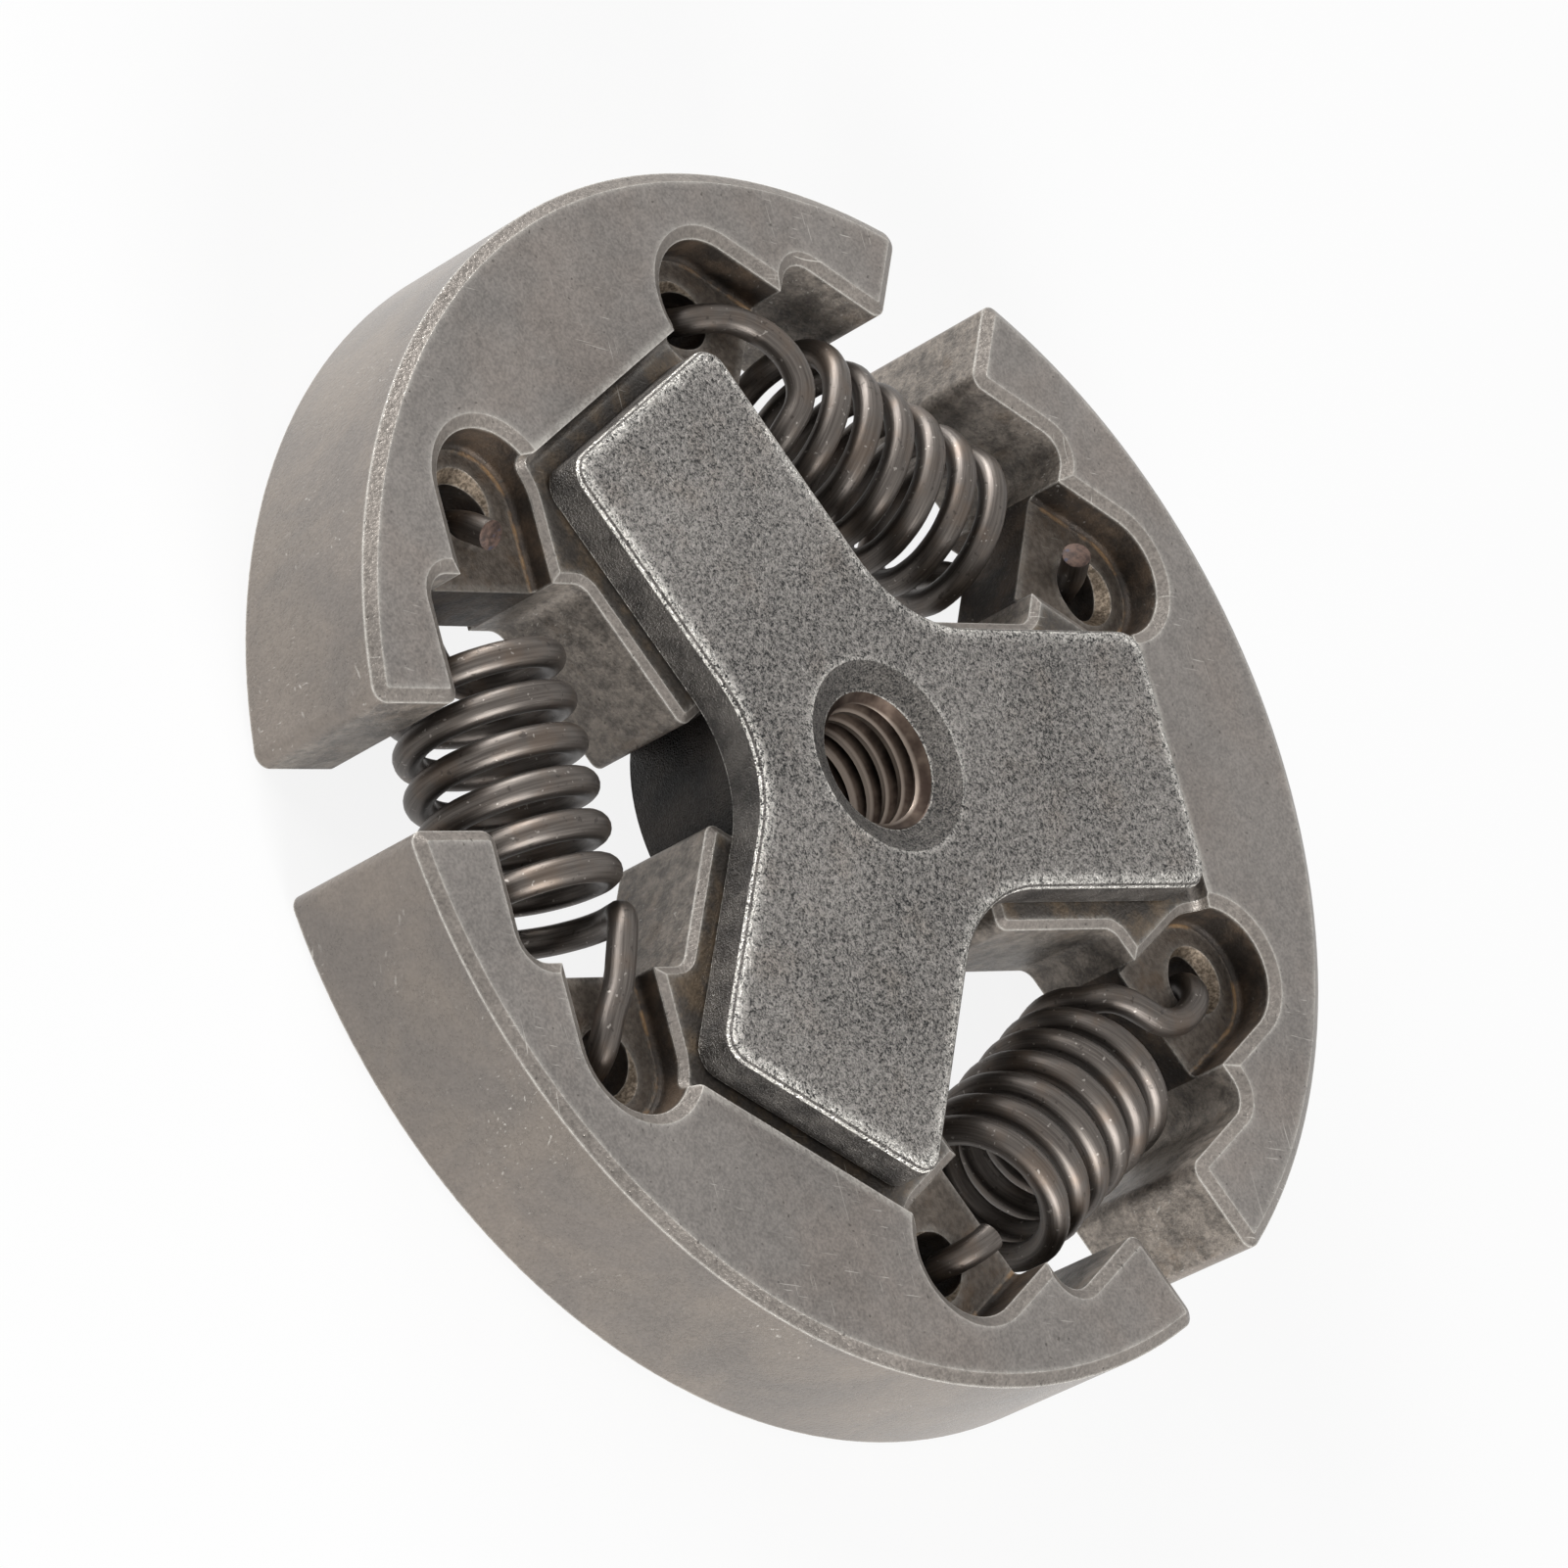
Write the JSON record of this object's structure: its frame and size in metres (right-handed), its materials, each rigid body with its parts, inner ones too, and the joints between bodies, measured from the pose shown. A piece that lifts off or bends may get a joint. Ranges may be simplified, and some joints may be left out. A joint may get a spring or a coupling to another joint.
{
  "type": "centrifugal clutch",
  "caption": "Centrifugal clutch for a small two-stroke saw: sintered shoes that slide out along a Y-shaped threaded spider and are drawn back by hooked coil springs",
  "frame": {"origin": "on the axis of the threaded bore, level with the back faces of the three shoes", "axes": "+Z runs along the bore from the shoes' backs to the front of the spider's plate, +Y runs out through the middle of shoe_1, and the other shoes follow clockwise as seen from the front"},
  "size_m": [0.07, 0.0697, 0.0121],
  "materials": {
    "spider": "satin",
    "shoe": "satin",
    "spring": "gloss"
  },
  "bodies": {
    "hub": {"spider": "spider", "spring_1": "spring", "spring_2": "spring", "spring_3": "spring"},
    "first_shoe": {"shoe_1": "shoe"},
    "second_shoe": {"shoe_2": "shoe"},
    "third_shoe": {"shoe_3": "shoe"}
  },
  "joints": [
    {"name": "first_shoe_slide", "type": "slide", "parent": "hub", "child": "first_shoe", "axis": [0, 1, 0], "range_m": [0, 0.0015], "stiffness_N_per_m": 21000, "springref_m": -0.003, "deforming": ["spring_1"]},
    {"name": "second_shoe_slide", "type": "slide", "parent": "hub", "child": "second_shoe", "axis": [0.866, -0.5, 0], "range_m": [0, 0.0015], "stiffness_N_per_m": 21000, "springref_m": -0.003, "deforming": ["spring_2"]},
    {"name": "third_shoe_slide", "type": "slide", "parent": "hub", "child": "third_shoe", "axis": [-0.866, -0.5, 0], "range_m": [0, 0.0015], "stiffness_N_per_m": 21000, "springref_m": -0.003, "deforming": ["spring_3"]}
  ]
}
